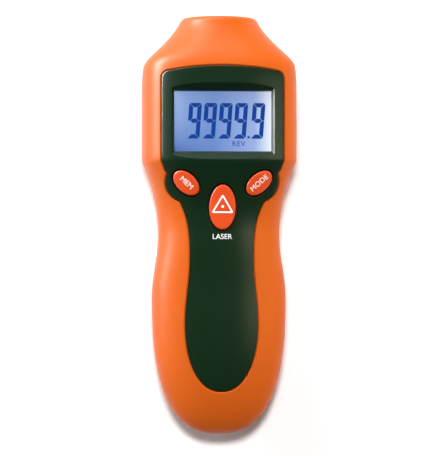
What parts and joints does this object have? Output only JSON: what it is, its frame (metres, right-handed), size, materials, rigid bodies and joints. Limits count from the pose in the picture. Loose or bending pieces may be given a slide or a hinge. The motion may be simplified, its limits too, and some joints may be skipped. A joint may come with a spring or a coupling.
{
  "type": "tachometer",
  "caption": "Handheld photo tachometer with a broad head, back-lit display, oval keys, waisted grip and a sliding battery door.",
  "frame": {"origin": "on the surface that the back lies on, under the middle of the length and width", "axes": "+Y along the length to the nose that the beam leaves, +X across, +Z out of the face with the display"},
  "size_m": [0.059, 0.16, 0.0421],
  "materials": {
    "orange_shell": "fine moulded texture, satin",
    "green_panel": "satin moulded",
    "orange_key": "satin moulded",
    "clear_window": "polished acrylic",
    "lcd": "back-lit display glass",
    "white_plastic": "white moulded",
    "grey_rubber": "matt",
    "board": "solder resist on glass laminate",
    "black_plastic": "matt moulded",
    "steel": "zinc plated",
    "brass": "turned",
    "lens_glass": "polished",
    "dark_window": "polished dark red tint",
    "sleeve": "shrunk sleeve",
    "red_wire": "soft insulation",
    "black_wire": "soft insulation"
  },
  "bodies": {
    "housing": {"front_case": "orange_shell", "rear_case": "orange_shell", "face_panel": "green_panel", "display_window": "clear_window", "lcd_glass": "lcd", "lcd_frame": "white_plastic", "backlight": "white_plastic", "zebra_strip_upper": "grey_rubber", "zebra_strip_lower": "grey_rubber", "main_board": "board", "sensor_board": "board", "microcontroller": "black_plastic", "crystal": "steel", "capacitor_left": "sleeve", "capacitor_right": "sleeve", "optics_holder": "black_plastic", "nose_bezel": "black_plastic", "nose_window": "dark_window", "laser_module": "brass", "laser_lens": "lens_glass", "receiver_lens": "lens_glass", "photodiode": "black_plastic", "battery": "sleeve", "battery_snap": "black_plastic", "lead_red": "red_wire", "lead_black": "black_wire", "memory_switch": "black_plastic", "mode_switch": "black_plastic", "measure_switch": "black_plastic", "case_screw_1": "steel", "board_screw_1": "steel", "case_screw_2": "steel", "board_screw_2": "steel", "case_screw_3": "steel", "board_screw_3": "steel", "case_screw_4": "steel", "board_screw_4": "steel"},
    "memory_key": {"memory_key": "orange_key", "memory_plunger": "white_plastic"},
    "mode_key": {"mode_key": "orange_key", "mode_plunger": "white_plastic"},
    "measure_key": {"measure_key": "orange_key", "measure_plunger": "white_plastic"},
    "battery_door": {"battery_door": "orange_shell"}
  },
  "joints": [
    {"name": "memory_key_press", "type": "slide", "parent": "housing", "child": "memory_key", "axis": [0, 0, -1], "range_m": [0, 0.0005], "stiffness_N_per_m": 1500},
    {"name": "mode_key_press", "type": "slide", "parent": "housing", "child": "mode_key", "axis": [0, 0, -1], "range_m": [0, 0.0005], "stiffness_N_per_m": 1500},
    {"name": "measure_key_press", "type": "slide", "parent": "housing", "child": "measure_key", "axis": [0, 0, -1], "range_m": [0, 0.0005], "stiffness_N_per_m": 1500},
    {"name": "battery_door_slide", "type": "slide", "parent": "housing", "child": "battery_door", "axis": [0, -1, 0], "range_m": [0, 0.07]}
  ]
}
